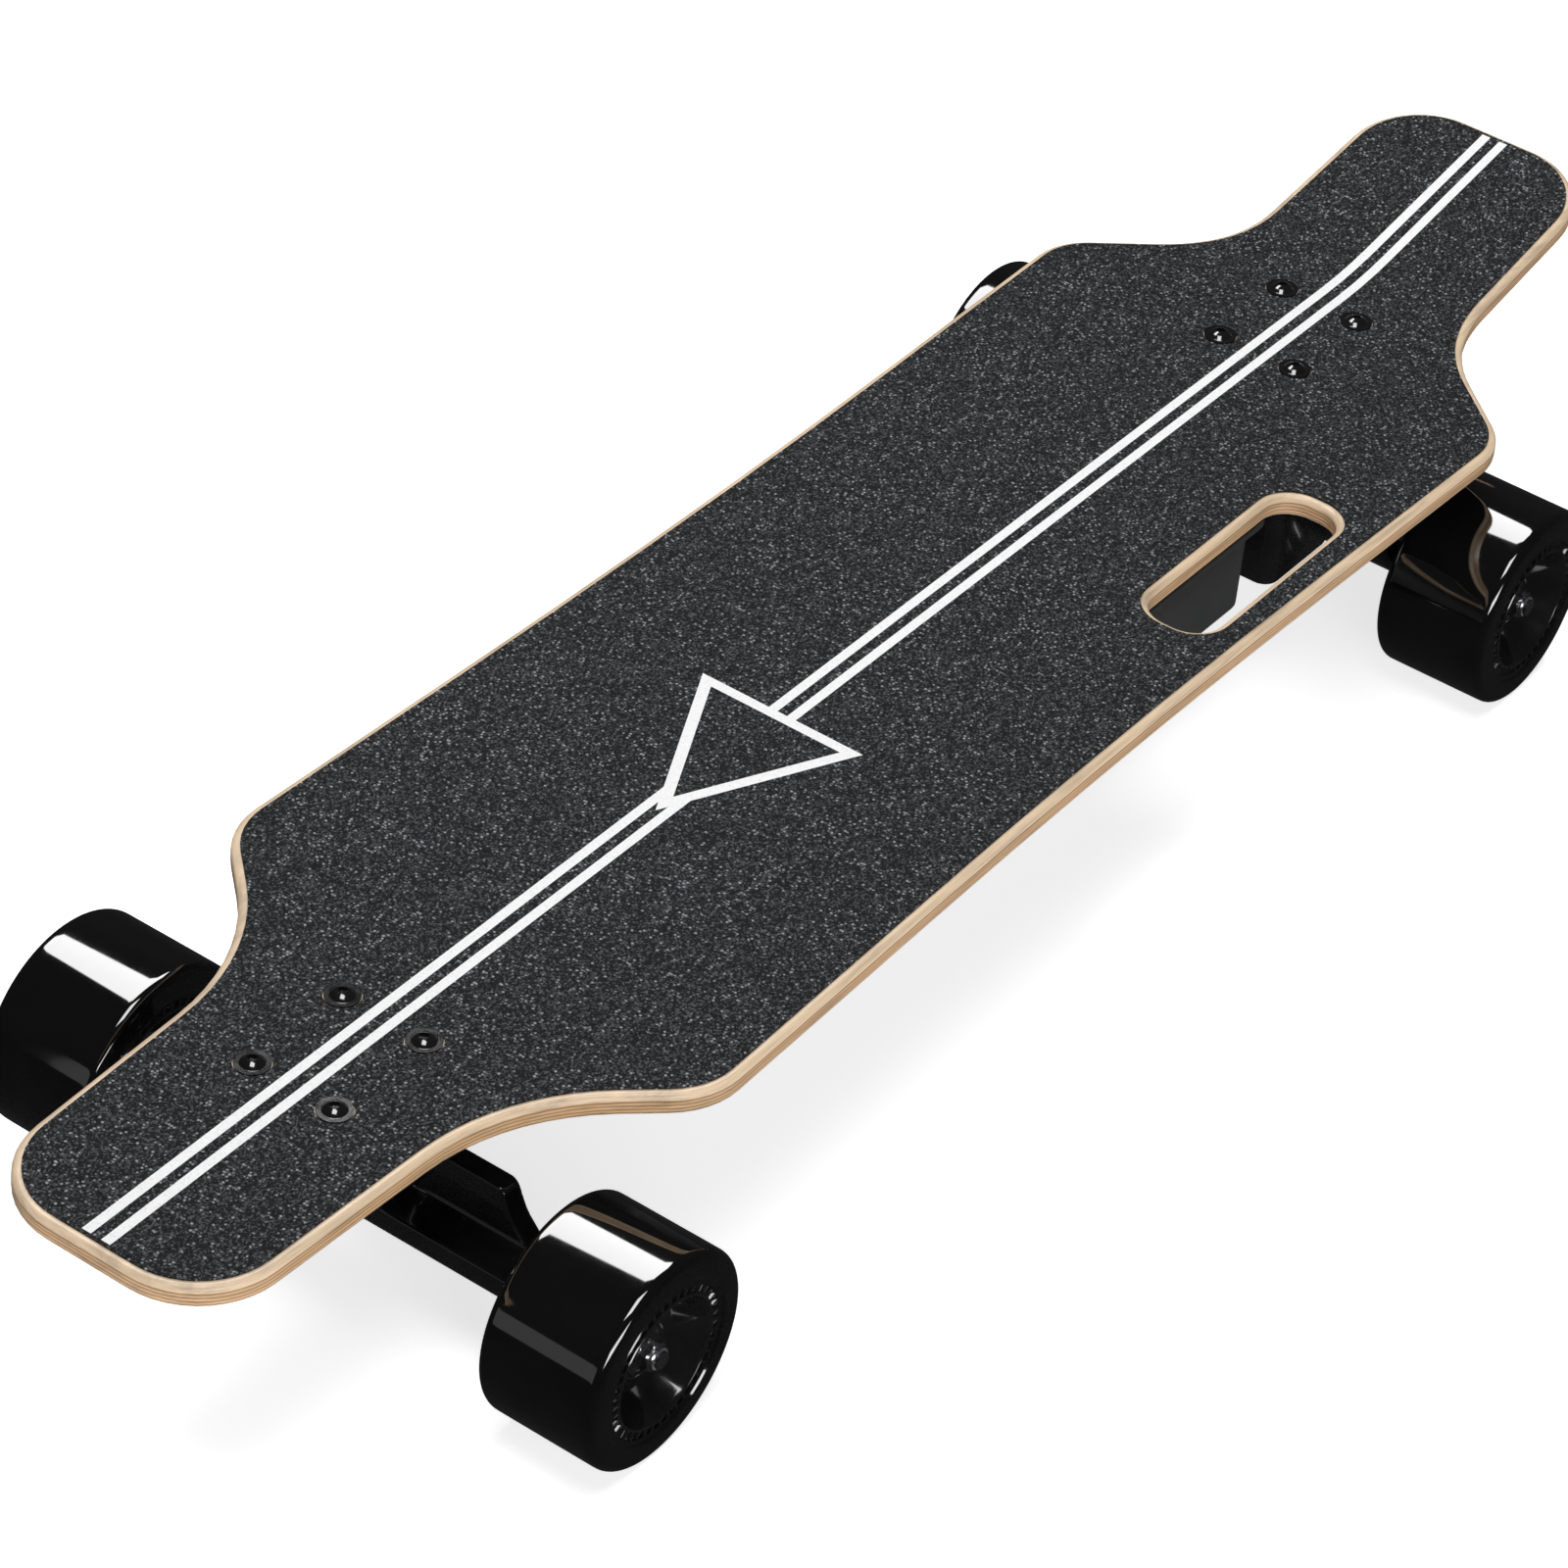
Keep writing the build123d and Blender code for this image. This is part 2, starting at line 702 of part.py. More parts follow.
def make_axle_hardware():
    """Inner bearing rings, the spacers between them, speed rings and nuts."""
    bore = axle_radius + tread_bond
    near = half_width - hub_depth
    inner_gap = near - bearing_width
    for end, axle_x, out in truck_places():
        races, spacers, nuts = [], [], []
        for side in (-1, 1):
            centre = Pos(axle_x, side * half_track, axle_z)
            races += [centre * bearing_ring(s, bearing_race_radius, bore) for s in (-1, 1)]
            if (end, side) != ("rear", -1):
                spacers.append(centre * ring(spacer_radius, bore, -inner_gap, inner_gap))
            spacers.append(centre * ring(speed_ring_radius, bore, near, near + speed_ring_width))
            spacers.append(centre * ring(speed_ring_radius, bore, -near - speed_ring_width, -near))
            start = side * nut_face_y if side > 0 else -nut_face_y - axle_nut_height
            nut = hexagon(axle_nut_across_flats, axle_nut_height, start, "Y")
            nut = nut - rod(bore, start - 1, start + axle_nut_height + 1)
            nuts.append(Pos(axle_x, 0, axle_z) * nut)
        save(end + "_inner_races", group(races))
        save(end + "_spacers", group(spacers))
        save(end + "_axle_nuts", group(nuts))


def make_motor_wheel(x, y):
    """Hub motor: the can and its cover turn, the stator stays on the axle."""
    centre = Pos(x, y, axle_z)
    near = half_width - hub_depth
    deep = near - bearing_width
    bore = bearing_radius + tread_bond
    inside = motor_can_radius - motor_wall
    face = half_width - motor_face_inset
    wall = face - motor_end_wall
    boss_end = deep - motor_boss_step
    save("motor_tyre", centre * make_tyre(motor_can_radius + tread_bond))
    end_wall = [
        (hub_radius, face), (hub_radius, near), (bore, near), (bore, deep),
        (hub_bore_radius, deep), (hub_bore_radius, boss_end), (motor_boss_radius, boss_end),
        (motor_boss_radius, wall),
    ]
    can = [(motor_can_radius, -face), (motor_can_radius, face)] + end_wall
    can += [(inside, wall), (inside, -face)]
    save("motor_can", centre * turned(can))
    rim = inside - tread_bond
    cover = [(rim, -face)] + [(r, -y) for r, y in end_wall] + [(rim, -wall)]
    save("motor_cover", centre * turned(cover))
    half = motor_stator_width / 2
    magnet_inner = rim - motor_magnet_thickness
    save("motor_magnets", centre * ring(rim, magnet_inner, -half, half))
    stator_radius = magnet_inner - motor_air_gap
    root = stator_radius - motor_tooth_depth
    stator = ring(root + 1, motor_boss_radius + inside_clearance, -half, half)
    stator = stator + ring(root, axle_radius + tread_bond, 1 - boss_end, boss_end - 1)
    shoe = ring(stator_radius, stator_radius - 2, -half, half)
    step = 360 / motor_slots
    tooth = Pos(root + motor_tooth_depth / 2, 0, 0) * Box(
        motor_tooth_depth - 1, motor_stator_width, motor_tooth_width)
    opening = Pos(stator_radius, 0, 0) * Box(6, motor_stator_width + 2, motor_slot_opening)
    for k in range(motor_slots):
        stator = stator + Rot(0, k * step, 0) * tooth
        shoe = shoe - Rot(0, (k + 0.5) * step, 0) * opening
    save("motor_stator", centre * (stator + shoe))
    rings = [
        centre * bearing_ring(side, bearing_radius, bearing_race_radius + running_gap)
        for side in (-1, 1)
    ]
    save("motor_bearings", group(rings))


def make_wheels():
    make_plain_wheel("front_left", front_axle_x, half_track)
    make_plain_wheel("front_right", front_axle_x, -half_track)
    make_plain_wheel("rear_left", rear_axle_x, half_track)
    make_motor_wheel(rear_axle_x, -half_track)
    make_axle_hardware()


# ---- Battery and controller tray ---------------------------------------------------------

seat_z = flange_top_z - flange_thickness      # under the flanges
screw_top = min(seat_z + tray_screw_length, deck_top_z - 1)
fitting_z = tray_floor_z + port_up
gland_face = tray_back + flange_width


def tub_plan(front, back, half_width, grow):
    """Plan of a tub whose flange ends at front and back; grow moves its walls outwards."""
    length = front - back - 2 * flange_width
    return Pos((front + back) / 2, 0) * RectangleRounded(
        length + 2 * grow, 2 * (half_width + grow), tray_corner_radius + grow)


def tub(front, back, half_width, wall):
    """Open-topped moulding with a rounded floor and a flange round its top."""
    outer = Pos(0, 0, tray_floor_z) * extrude(tub_plan(front, back, half_width, 0), tray_depth)
    outer = fillet(outer.faces().sort_by(Axis.Z)[0].edges(), tray_edge_radius)
    room = extrude(tub_plan(front, back, half_width, -wall), tray_depth)
    room = Pos(0, 0, tray_floor_z + wall) * room
    room = fillet(room.faces().sort_by(Axis.Z)[0].edges(), tray_edge_radius - wall)
    rim = extrude(tub_plan(front, back, half_width, flange_width), flange_thickness)
    return (outer + Pos(0, 0, seat_z) * rim) - room


def seal(front, back, half_width, wall):
    plan = tub_plan(front, back, half_width, flange_width)
    plan = plan - tub_plan(front, back, half_width, -wall)
    return Pos(0, 0, flange_top_z) * extrude(plan, gasket_thickness)


def cover_screw_places():
    for x in (cover_front - cover_screw_inset, cover_back + cover_screw_inset):
        for side in (-1, 1):
            yield x, side * (cover_half_width + flange_width / 2)


def tray_screw_places():
    first = tray_back + flange_width / 2 + tray_screw_end
    last = tray_front - flange_width / 2 - tray_screw_end
    for k in range(tray_screws_per_side):
        x = first + k * (last - first) / (tray_screws_per_side - 1)
        for side in (-1, 1):
            yield x, side * (tray_half_width + flange_width / 2)


def screw_places():
    return list(tray_screw_places()) + list(cover_screw_places())


def drill_for_screws(shape, gap, bottom, top):
    for x, y in screw_places():
        shape = shape - Pos(x, y) * rod(tray_screw_radius + gap, bottom, top, "Z")
    return shape


def side_fittings():
    """Cutters through the right wall for the port and the button, and the back wall's gland."""
    wall_y = -tray_half_width
    near, deep = wall_y - tray_wall, wall_y + 2 * tray_wall
    port_cut = rod(port_neck_radius + inside_clearance, near, deep)
    button_cut = rod(button_radius + button_gap, near, deep)
    gland_cut = rod(gland_radius - gland_step, gland_face - tray_wall, gland_face + 2 * tray_wall, "X")
    return [
        Pos(port_x, 0, fitting_z) * port_cut, Pos(button_x, 0, fitting_z) * button_cut,
        Pos(0, gland_y, fitting_z) * gland_cut,
    ]


def make_tray():
    tray = tub(tray_front, tray_back, tray_half_width, tray_wall)
    for cut in side_fittings():
        tray = tray - cut
    save("tray", drill_for_screws(tray, tray_screw_gap, seat_z - 1, flange_top_z + 1))
    cover = tub(cover_front, cover_back, cover_half_width, cover_wall)
    reach = rod(gland_radius + inside_clearance, cover_front - 3 * flange_width, cover_front, "X")
    cover = cover - Pos(0, gland_y, fitting_z) * reach
    save("cable_cover", drill_for_screws(cover, tray_screw_gap, seat_z - 1, flange_top_z + 1))
    seals = [
        seal(tray_front, tray_back, tray_half_width, tray_wall),
        seal(cover_front, cover_back, cover_half_width, cover_wall),
    ]
    cut = [drill_for_screws(s, tray_screw_gap, flange_top_z - 1, deck_bottom_z + 1) for s in seals]
    save("tray_gasket", group(cut))


def make_tray_screws():
    head_bottom = seat_z - tray_screw_head_height
    head = rod(tray_screw_head_radius, head_bottom, seat_z, "Z")
    head = fillet(head.edges().sort_by(Axis.Z)[0], tray_screw_head_round)
    socket = extrude(RegularPolygon(tray_screw_socket, 6), tray_screw_socket)
    head = head - Pos(0, 0, head_bottom) * socket
    screw = head + rod(tray_screw_radius, seat_z, screw_top, "Z")
    save("tray_screws", group(Pos(x, y) * screw for x, y in screw_places()))


def drill_deck():
    """Pilot holes in the deck for the tray's and the cover's screws."""
    save("deck", drill_for_screws(parts["deck"], tread_bond, deck_bottom_z - 1, screw_top))


def make_electronics():
    floor = tray_floor_z + tray_wall
    battery_x = tray_front - flange_width - tray_edge_radius - battery_length / 2
    battery = Box(battery_length, battery_width, battery_height)
    battery = Pos(battery_x, 0, floor + battery_height / 2) * battery
    save("battery_pack", fillet(battery.edges().filter_by(Axis.X), battery_corner_radius))
    board_x = gland_face + tray_edge_radius + gland_inside + controller_length / 2
    board_top = floor + controller_board_thickness
    board = Box(controller_length, controller_width, controller_board_thickness)
    board = Pos(board_x, controller_y, board_top - controller_board_thickness / 2) * board
    save("controller_board", board)
    sink_length = controller_length - controller_margin
    sink = Box(sink_length, controller_width - controller_margin, controller_height)
    sink = Pos(board_x, controller_y, board_top + controller_height / 2) * sink
    pitch = sink_length / heatsink_fins
    slot = Box(pitch / 2, controller_width, heatsink_slot_depth)
    slot_z = board_top + controller_height - heatsink_slot_depth / 2
    for k in range(heatsink_fins):
        x = board_x - sink_length / 2 + (k + 0.5) * pitch
        sink = sink - Pos(x, controller_y, slot_z) * slot
    save("controller_heatsink", sink)


def make_charge_port():
    wall_y = -tray_half_width
    end = wall_y + port_length
    body = rod(port_neck_radius, wall_y, end) + rod(port_radius, wall_y - port_flange, wall_y)
    body = body - rod(port_bore_radius, wall_y - port_flange - 1, end - port_end_wall)
    for k in range(port_pins):
        a = 2 * pi * k / port_pins
        pin = rod(port_pin_radius, wall_y + port_end_wall, end - port_end_wall / 2)
        body = body + Pos(port_pin_circle * cos(a), 0, port_pin_circle * sin(a)) * pin
    save("charge_port", Pos(port_x, 0, fitting_z) * body)


def make_charge_cap():
    """Lid that swings up on a pin held by two ears on the wall."""
    wall_y = -tray_half_width
    face = wall_y - port_flange - cap_face_gap
    hinge_z = port_radius + cap_hinge_radius + 1
    hub_y = face - cap_hinge_radius
    room = cap_hinge_radius + cap_hinge_gap / 2
    hinge = Pos(0, hub_y, hinge_z)
    knuckle = hinge * ring(cap_hinge_radius + 1, room, -cap_arm_width / 2, cap_arm_width / 2, "X")
    arm_top, arm_bottom = hinge_z, cap_radius - cap_hinge_radius
    arm = Box(cap_arm_width, cap_thickness, arm_top - arm_bottom)
    arm = Pos(0, face - cap_thickness / 2, (arm_top + arm_bottom) / 2) * arm
    lid = rod(cap_radius, face - cap_thickness, face) + arm
    lid = lid - hinge * rod(room + 0.01, -cap_arm_width, cap_arm_width, "X")
    save("charge_cap", Pos(port_x, 0, fitting_z) * (lid + knuckle))
    pin = hinge * rod(cap_hinge_radius, -cap_pin_reach, cap_pin_reach, "X")
    ear_back = hub_y - cap_hinge_radius
    for side in (-1, 1):
        ear = Box(cap_ear_width, wall_y - ear_back, 2 * cap_hinge_radius + 1)
        pin = pin + Pos(side * cap_ear_place, (wall_y + ear_back) / 2, hinge_z) * ear
    save("cap_hinge", Pos(port_x, 0, fitting_z) * pin)


def make_power_button():
    wall_y = -tray_half_width
    room = button_radius + button_gap
    outside = room + button_switch_wall
    back = wall_y + button_switch_depth
    bezel = ring(button_bezel_radius, room, wall_y - port_flange, wall_y)
    switch = ring(outside, room, wall_y + tray_wall, back) + rod(outside, back, back + 2)
    save("button_bezel", group(Pos(button_x, 0, fitting_z) * piece for piece in (bezel, switch)))
    key = rod(button_radius, wall_y - button_proud, back - button_travel - button_gap)
    key = fillet(key.edges().sort_by(Axis.Y)[0], button_round)
    save("power_button", Pos(button_x, 0, fitting_z) * key)


def make_cable_gland():
    inner = gland_face + tray_wall + gland_step
    gland = ring(gland_radius - gland_step, gland_bore_radius, gland_face - 1, inner, "X")
    nose = ring(gland_radius, gland_bore_radius, gland_face - gland_length, gland_face, "X")
    save("cable_gland", Pos(0, gland_y, fitting_z) * (gland + nose))


# ---- Build and write ---------------------------------------------------------------------

make_deck()
make_graphic()
make_grip()
make_deck_hardware()
make_trucks()
make_wheels()
make_tray()
make_tray_screws()
drill_deck()
make_electronics()
make_charge_port()
make_charge_cap()
make_power_button()
make_cable_gland()

os.makedirs("parts", exist_ok=True)
for name, shape in parts.items():
    shape.label = name
    export_step(shape, os.path.join("parts", name + ".step"))
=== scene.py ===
"""Looks of the electric longboard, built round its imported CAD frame.

Metres, in the frame's own axes. Profiles and sizes are in millimetres and scaled by MM.
"""
import json
import math

import bmesh
import bpy
from mathutils import Matrix, Vector


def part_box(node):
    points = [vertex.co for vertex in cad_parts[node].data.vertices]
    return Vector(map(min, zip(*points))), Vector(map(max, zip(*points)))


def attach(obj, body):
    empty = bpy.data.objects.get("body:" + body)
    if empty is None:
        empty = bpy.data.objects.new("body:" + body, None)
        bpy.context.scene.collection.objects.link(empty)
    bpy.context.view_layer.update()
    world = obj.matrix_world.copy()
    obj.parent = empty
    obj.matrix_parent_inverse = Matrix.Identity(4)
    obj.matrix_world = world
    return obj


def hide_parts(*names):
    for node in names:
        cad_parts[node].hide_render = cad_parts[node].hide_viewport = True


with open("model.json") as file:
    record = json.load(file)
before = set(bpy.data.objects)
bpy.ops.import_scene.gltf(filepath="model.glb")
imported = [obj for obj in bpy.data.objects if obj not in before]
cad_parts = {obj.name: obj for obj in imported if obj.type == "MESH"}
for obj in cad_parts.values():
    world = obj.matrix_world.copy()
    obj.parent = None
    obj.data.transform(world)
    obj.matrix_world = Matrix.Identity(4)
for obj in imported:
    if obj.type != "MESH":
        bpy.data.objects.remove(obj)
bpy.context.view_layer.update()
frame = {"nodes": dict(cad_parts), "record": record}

MM = 0.001
record = frame["record"]
node_body = {n: body for body, members in record["behaviour"]["bodies"].items() for n in members}
node_slot = {row["node"]: row["material_slot"] for row in record["subparts"]}

# ---- Sizes that follow the CAD, in millimetres ----------------------------------------------

deck_thickness = 10.5
stain_and_shade_depth = 0.12            # of the black under the deck: staining, and painted shade under the deck
kick_start = 53               # behind the rear axle
kick_radius = 250
kick_angle = math.radians(9.5)
wheel_radius = 48.5
wheel_half_width = 28
tyre_shoulder = 4.0           # tighter than the CAD's
core_radius = 34.2
bowl_radius = 29
bowl_depth = 17
hub_radius = 13
hub_depth = 11
hub_bore_radius = 9.2
bearing_radius = 11
bearing_width = 7
race_radius = 6.18
nut_across_flats = 13
nut_height = 6.5
axle_radius = 4
flange_width = 6
flange_thickness = 3
tray_wall = 3
cover_wall = 2.5
tub_edge = 2.5
tub_corner = 11


# ---- Node materials -------------------------------------------------------------------------

class Shader:
    """One procedural material, built on its Principled shader."""

    def __init__(self, name, **fixed):
        self.material = bpy.data.materials.new(name)
        self.material.use_nodes = True
        self.tree = self.material.node_tree
        self.surface = self.tree.nodes["Principled BSDF"]
        self.coordinates = None
        for socket, value in fixed.items():
            self.surface.inputs[socket.replace("_", " ")].default_value = value

    def node(self, kind, inputs=None, **settings):
        made = self.tree.nodes.new("ShaderNode" + kind)
        for name, value in settings.items():
            setattr(made, name, value)
        for key, value in (inputs or {}).items():
            self.feed(made.inputs[key], value)
        return made

    def feed(self, socket, value):
        if isinstance(value, bpy.types.NodeSocket):
            self.tree.links.new(value, socket)
        else:
            socket.default_value = value

    def set(self, socket, value):
        self.feed(self.surface.inputs[socket], value)

    def place(self, stretch=None):
        """Position on the object in metres, stretched along each axis."""
        if self.coordinates is None:
            self.coordinates = self.node("TexCoord").outputs["Object"]
        if stretch is None:
            return self.coordinates
        return self.node("Mapping", {"Vector": self.coordinates, "Scale": stretch}).outputs[0]

    def math(self, operation, *values):
        return self.node("Math", dict(enumerate(values)), operation=operation).outputs[0]

    def noise(self, scale, detail=2.0, roughness=0.5, stretch=None):
        made = self.node("TexNoise", {
            "Vector": self.place(stretch), "Scale": scale, "Detail": detail,
            "Roughness": roughness})
        return made.outputs[0]

    def cells(self, scale, stretch=None):
        """Random value and distance from the middle, for each grain of a cell pattern."""
        made = self.node("TexVoronoi", {"Vector": self.place(stretch), "Scale": scale})
        value = self.node("SeparateColor", {0: made.outputs["Color"]}).outputs[0]
        return value, made.outputs["Distance"]

    def ramp(self, factor, *stops):
        """Value or colour that goes from stop to stop: each is (position, grey or colour)."""
        made = self.node("ValToRGB", {0: factor})
        elements = made.color_ramp.elements
        while len(elements) < len(stops):
            elements.new(0.5)
        for element, (position, tone) in zip(elements, stops):
            element.position = position
            rgb = (tone, tone, tone) if isinstance(tone, (int, float)) else tone
            element.color = (*rgb, 1)
        return made.outputs[0]

    def mix(self, factor, first, second, blend="MIX"):
        made = self.node("Mix", data_type="RGBA", blend_type=blend)
        for index, value in ((0, factor), (6, first), (7, second)):
            if isinstance(value, tuple):
                value = (*value, 1)
            self.feed(made.inputs[index], value)
        return made.outputs[2]

    def bump(self, height, strength, depth):
        made = self.node("Bump", {"Height": height, "Strength": strength, "Distance": depth})
        self.set("Normal", made.outputs[0])


def grit(name, dark, glint_colour, share):
    """Silicon-carbide grip tape: dark grains, a share of them given a bright spot, a painted glint.
    """
    s = Shader(name, Specular_IOR_Level=0.25)
    value, distance = s.cells(1300)
    coarse, coarse_distance = s.cells(640)
    middling, bright_body = tuple(2.0 * c for c in dark), tuple(17.0 * c for c in dark)
    body = s.ramp(value, (0.0, dark), (0.6, middling), (1.0, bright_body))
    # Painted glints: a share of the coarse grains gets a bright spot in its middle, in the glint
    # colour.
    glint_pick = s.ramp(coarse, (1 - share, 0.0), (1 - share / 3, 1.0))
    core = s.ramp(coarse_distance, (0.18, 1.0), (0.5, 0.0))
    patch = s.ramp(s.noise(38, 4.0, 0.6), (0.3, 0.72), (0.7, 1.0))
    bright = s.math("MULTIPLY", s.math("MULTIPLY", glint_pick, core), patch)
    s.set("Base Color", s.mix(bright, body, glint_colour))
    s.set("Roughness", s.ramp(value, (0.0, 0.9), (1.0, 0.62)))
    height = s.math("SUBTRACT", s.math("MULTIPLY", coarse, 0.9), distance)
    s.bump(height, 0.55, 0.35 * MM)
    return s.material


def white_print():
    s = Shader("white_print", Specular_IOR_Level=0.3)
    value, distance = s.cells(1500)
    s.set("Base Color", s.ramp(value, (0.0, 0.80), (0.12, 0.9), (1.0, 0.97)))
    s.set("Roughness", s.ramp(value, (0.0, 0.75), (1.0, 0.55)))
    s.bump(s.math("SUBTRACT", value, distance), 0.25, 0.25 * MM)
    return s.material


def ply_depth(s):
    """Depth below the deck's top in millimetres, which follows the kicked tail."""
    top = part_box("deck_bolt_washers")[0].z
    low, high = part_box("rear_axle")
    bend_x = (low.x + high.x) / 2 - kick_start * MM
    split = s.node("SeparateXYZ", {0: s.place()})
    back = s.math("SUBTRACT", bend_x, split.outputs[0])
    down = s.math("SUBTRACT", top + kick_radius * MM, split.outputs[2])
    lean = s.math("ARCTAN2", back, down)
    turn = s.node("Clamp", {"Value": lean, "Min": 0.0, "Max": kick_angle}).outputs[0]
    reach = s.math("ADD", s.math("MULTIPLY", back, s.math("SINE", turn)),
                   s.math("MULTIPLY", down, s.math("COSINE", turn)))
    return s.math("SUBTRACT", s.math("DIVIDE", reach, MM), kick_radius)


def maple():
    """Maple plies, glue lines and streaky grain under a clear coat; black underneath, both staining
    and painted shade under the deck.
    """
    s = Shader("maple_ply", Coat_Weight=0.35, Coat_Roughness=0.18, Specular_IOR_Level=0.4)
    depth = ply_depth(s)
    wander = s.math("MULTIPLY", s.math("SUBTRACT", s.noise(30, 3.0, 0.6, (1, 1, 6)), 0.5), 0.8)
    layer = s.math("DIVIDE", s.math("ADD", depth, wander), deck_thickness)
    cream, tan, brown = (0.88, 0.67, 0.46), (0.66, 0.40, 0.20), (0.26, 0.125, 0.05)
    warm = (0.80, 0.55, 0.33)
    plies = s.ramp(
        layer, (0.0, cream), (0.24, cream), (0.29, tan), (0.335, brown), (0.37, warm), (0.47, tan),
        (0.50, brown), (0.535, warm), (0.63, tan), (0.665, brown), (0.70, warm), (0.80, tan),
        (0.84, brown), (0.88, cream))
    fine = s.noise(900, 3.0, 0.6, (0.03, 0.12, 1.0))
    long = s.noise(260, 4.0, 0.65, (0.05, 0.3, 1.0))
    streak = s.ramp(long, (0.32, 0.66), (0.5, 0.92), (0.68, 1.0))
    hair = s.ramp(fine, (0.35, 0.82), (0.6, 1.0))
    grained = s.mix(1.0, s.mix(1.0, plies, streak, "MULTIPLY"), hair, "MULTIPLY")
    # The black underneath is staining, and also painted shade: it keeps the underside dark in the
    # wheels' and trucks' gloss reflections.
    underside = s.math("GREATER_THAN", depth, deck_thickness - stain_and_shade_depth)
    stain_and_shade = s.ramp(long, (0.3, 0.006), (0.7, 0.016))
    s.set("Base Color", s.mix(underside, grained, stain_and_shade))
    s.set("Roughness", s.ramp(long, (0.3, 0.5), (0.7, 0.34)))
    s.bump(fine, 0.15, 0.2 * MM)
    return s.material


def gloss_black(name, tone, smooth, rough, orange_peel, coat=0.0, specular=0.5):
    """Black gloss finish with faint unevenness in its shine."""
    s = Shader(name, Coat_Weight=coat, Coat_Roughness=0.04, Specular_IOR_Level=specular)
    cloud = s.noise(45, 4.0, 0.55)
    s.set("Base Color", s.ramp(cloud, (0.3, tone * 0.7), (0.7, tone * 1.4)))
    s.set("Roughness", s.ramp(s.noise(160, 5.0, 0.6), (0.3, smooth), (0.7, rough)))
    s.bump(s.noise(520, 2.0), orange_peel, 0.1 * MM)
    return s.material


def moulded(name, colour, rough, stipple, depth=0.06, specular=0.5):
    """Moulded plastic or rubber with a fine stippled skin."""
    s = Shader(name, Specular_IOR_Level=specular)
    value, distance = s.cells(stipple)
    cloud = s.noise(30, 3.0)
    dim = tuple(0.82 * c for c in colour)
    s.set("Base Color", s.mix(s.ramp(cloud, (0.3, 0.0), (0.7, 1.0)), dim, colour))
    s.set("Roughness", s.ramp(value, (0.0, rough * 0.88), (1.0, min(1.0, rough * 1.12))))
    s.bump(distance, 0.35, depth * MM)
    return s.material


def metal(name, colour, rough, stretch=None, scale=400.0, grain=0.3):
    """Bare or plated metal with fine tool marks along the stretch's short axis."""
    s = Shader(name, Metallic=1.0)
    marks = s.noise(scale, 4.0, 0.6, stretch)
    dim = tuple(0.8 * c for c in colour)
    s.set("Base Color", s.mix(s.ramp(marks, (0.3, 0.0), (0.7, 1.0)), dim, colour))
    s.set("Roughness", s.ramp(marks, (0.3, rough * 0.75), (0.7, rough * 1.3)))
    s.bump(marks, grain, 0.03 * MM)
    return s.material


def turned_metal(name, colour, rough):
    """Metal with the fine rings that a lathe leaves, about the wheel's axle."""
    s = Shader(name, Metallic=1.0)
    marks = s.noise(2600, 2.0, 0.5, (0.02, 1.0, 0.02))
    cloud = s.noise(120, 3.0)
    s.set("Base Color", s.mix(cloud, tuple(0.8 * c for c in colour), colour))
    s.set("Roughness", s.ramp(marks, (0.3, rough * 0.8), (0.7, rough * 1.3)))
    s.bump(marks, 0.2, 0.02 * MM)
    return s.material


def circuit_board():
    s = Shader("circuit_board", Coat_Weight=0.4, Coat_Roughness=0.15)
    value, _ = s.cells(220)
    tracks = s.node("TexBrick", {
        "Vector": s.place(), "Scale": 160.0, "Color1": (0.012, 0.10, 0.04, 1),
        "Color2": (0.018, 0.15, 0.06, 1), "Mortar": (0.03, 0.24, 0.10, 1)})
    copper = s.ramp(value, (0.93, 0.0), (0.95, 1.0))
    s.set("Base Color", s.mix(copper, tracks.outputs[0], (0.75, 0.42, 0.16)))
    s.set("Roughness", s.ramp(value, (0.0, 0.32), (1.0, 0.5)))
    return s.material


def windings():
    """Enamelled copper wire laid round the stator's teeth, with painted shade between the wires and
    a painted highlight along each.
    """
    s = Shader("copper_windings", Metallic=0.8)
    wires = s.node("TexWave", {
        "Vector": s.place((0.4, 1.0, 0.4)), "Scale": 900.0, "Distortion": 0.6}, bands_direction="Y")
    # Dark at the edges of each wire band and bright along its middle: painted shade between the
    # wires, painted highlight on them.
    dark, bright = (0.16, 0.05, 0.015), (0.62, 0.26, 0.09)
    s.set("Base Color", s.ramp(wires.outputs[1], (0.1, dark), (0.7, bright)))
    s.set("Roughness", s.ramp(wires.outputs[1], (0.1, 0.5), (0.8, 0.25)))
    s.bump(wires.outputs[1], 0.5, 0.1 * MM)
    return s.material


def shrink_wrap():
    s = Shader("shrink_wrap", Coat_Weight=0.3, Coat_Roughness=0.2)
    folds = s.noise(70, 3.0, 0.6, (1.0, 0.25, 1.0))
    # The colour follows the folds: painted shade in the fold troughs, lighter along the crests.
    s.set("Base Color", s.ramp(folds, (0.3, (0.01, 0.04, 0.16)), (0.7, (0.02, 0.08, 0.28))))
    s.set("Roughness", s.ramp(folds, (0.3, 0.28), (0.7, 0.45)))
    s.bump(folds, 0.5, 0.6 * MM)
    return s.material


